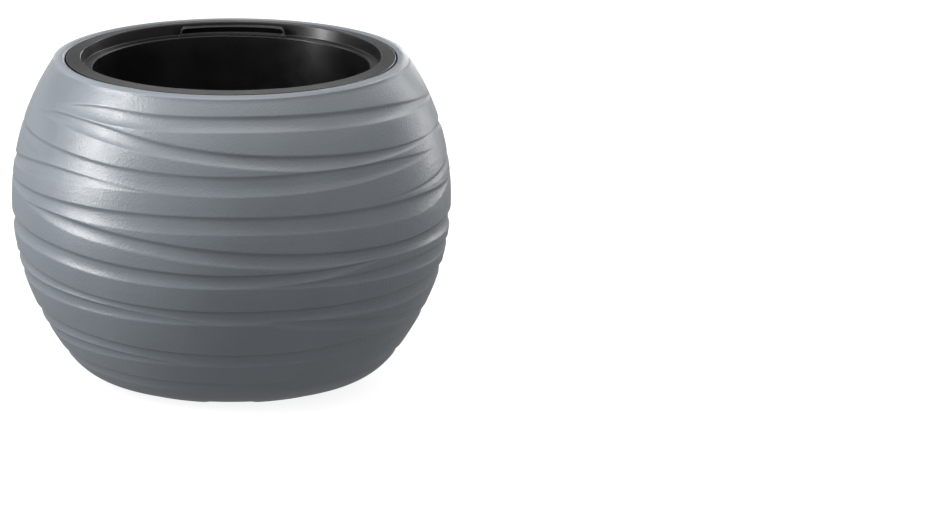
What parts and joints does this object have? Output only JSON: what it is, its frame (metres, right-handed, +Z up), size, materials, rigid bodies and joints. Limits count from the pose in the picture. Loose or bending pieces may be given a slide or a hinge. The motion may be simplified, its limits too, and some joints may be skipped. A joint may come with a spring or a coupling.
{
  "type": "self watering planter",
  "caption": "Bowl-shaped rippled pot with a lift-out stepped liner, pull-up handles and a perforated watering insert with a level float.",
  "frame": {"origin": "centre of the foot ring on the ground", "axes": "+Z up along the pot's axis, front of the planter along -Y"},
  "size_m": [0.4394, 0.4394, 0.3289],
  "materials": {
    "pot_plastic": "blue-grey satin polypropylene with a fine leather grain",
    "liner_plastic": "anthracite satin polypropylene with a fine grain",
    "handle_plastic": "anthracite satin polypropylene",
    "insert_plastic": "dark grey moulded polypropylene",
    "float_foam": "white hollow float",
    "float_plastic": "off-white drawn rod",
    "marker_plastic": "red moulded tip",
    "bung_rubber": "black soft rubber"
  },
  "bodies": {
    "planter": {"outer_pot": "pot_plastic"},
    "liner": {"liner": "liner_plastic"},
    "handle_front": {"handle_front": "handle_plastic"},
    "handle_rear": {"handle_rear": "handle_plastic"},
    "insert": {"separator_plate": "insert_plastic", "wick_basket_1": "insert_plastic", "wick_basket_2": "insert_plastic", "wick_basket_3": "insert_plastic", "level_tube": "insert_plastic", "tube_cap": "insert_plastic"},
    "float": {"float_cup": "float_foam", "float_rod": "float_plastic", "level_marker": "marker_plastic"},
    "bung": {"drain_bung": "bung_rubber"}
  },
  "joints": [
    {"name": "liner_lift", "type": "slide", "parent": "planter", "child": "liner", "axis": [0, 0, 1], "range_m": [0, 0.26]},
    {"name": "handle_front_lift", "type": "slide", "parent": "liner", "child": "handle_front", "axis": [0, 0, 1], "range_m": [0, 0.027]},
    {"name": "handle_rear_lift", "type": "slide", "parent": "liner", "child": "handle_rear", "axis": [0, 0, 1], "range_m": [0, 0.027]},
    {"name": "insert_lift", "type": "slide", "parent": "liner", "child": "insert", "axis": [0, 0, 1], "range_m": [0, 0.24]},
    {"name": "float_rise", "type": "slide", "parent": "insert", "child": "float", "axis": [0, 0, 1], "range_m": [0, 0.038]},
    {"name": "bung_pull", "type": "slide", "parent": "liner", "child": "bung", "axis": [0, 0, 1], "range_m": [0, 0.03]}
  ]
}
